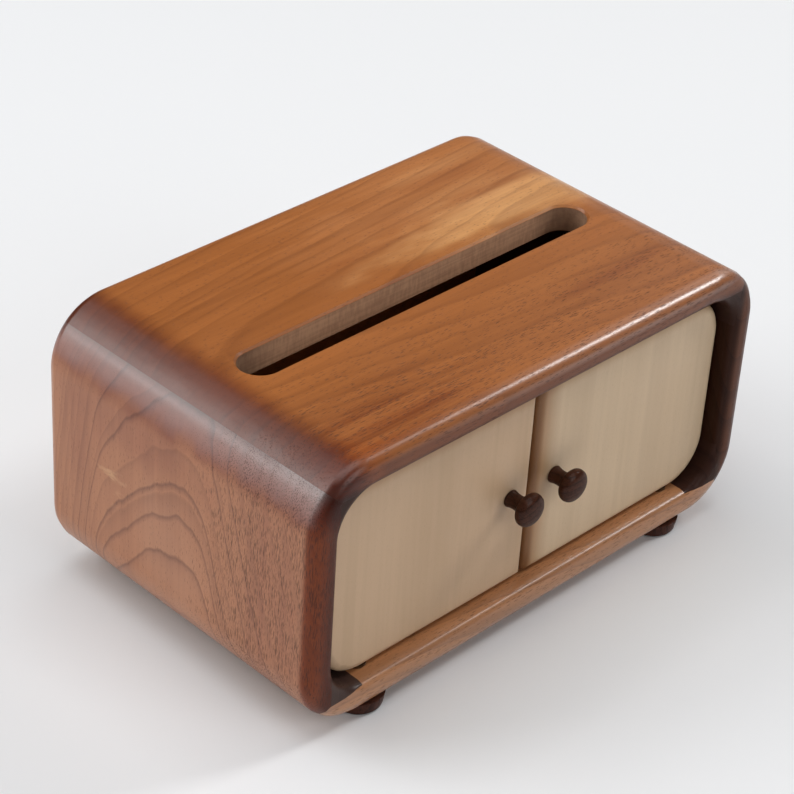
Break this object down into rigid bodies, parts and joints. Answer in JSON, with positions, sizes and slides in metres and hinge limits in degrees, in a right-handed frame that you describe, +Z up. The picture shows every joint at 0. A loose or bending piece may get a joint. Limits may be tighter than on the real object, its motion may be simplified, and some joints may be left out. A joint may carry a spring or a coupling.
{
  "type": "tissue box",
  "caption": "Low wooden tissue box: a rounded case with a long slot in its top, on turned feet, with small knobbed doors that turn on hidden pins and close the front.",
  "frame": {"origin": "on the table, under the middle of the bounding box, knobs included", "axes": "+X along the front to the user's right, -Y towards the user (the doors face -Y), +Z up"},
  "size_m": [0.225, 0.1464, 0.1125],
  "materials": {
    "walnut": "satin lacquer",
    "maple": "satin lacquer",
    "dark_walnut": "polished",
    "brass": "turned",
    "magnet": "plated"
  },
  "bodies": {
    "case": {"top_board": "walnut", "bottom_board": "walnut", "left_side": "walnut", "right_side": "walnut", "corner_block_top_left": "walnut", "corner_block_top_right": "walnut", "corner_block_bottom_left": "walnut", "corner_block_bottom_right": "walnut", "back_panel": "walnut", "door_stop": "walnut", "left_upper_pivot_pin": "brass", "left_lower_pivot_pin": "brass", "left_pivot_washer": "brass", "left_stop_magnet": "magnet", "front_left_foot": "dark_walnut", "back_left_foot": "dark_walnut", "right_upper_pivot_pin": "brass", "right_lower_pivot_pin": "brass", "right_pivot_washer": "brass", "right_stop_magnet": "magnet", "front_right_foot": "dark_walnut", "back_right_foot": "dark_walnut"},
    "left_leaf": {"left_door": "maple", "left_knob": "dark_walnut", "left_knob_screw": "brass", "left_door_magnet": "magnet"},
    "right_leaf": {"right_door": "maple", "right_knob": "dark_walnut", "right_knob_screw": "brass", "right_door_magnet": "magnet"}
  },
  "joints": [
    {"name": "left_door_hinge", "type": "hinge", "parent": "case", "child": "left_leaf", "pos_m": [-0.0801, -0.0561, 0.059], "axis": [0, 0, -1], "range_deg": [0, 130]},
    {"name": "right_door_hinge", "type": "hinge", "parent": "case", "child": "right_leaf", "pos_m": [0.0801, -0.0561, 0.059], "axis": [0, 0, 1], "range_deg": [0, 130]}
  ]
}
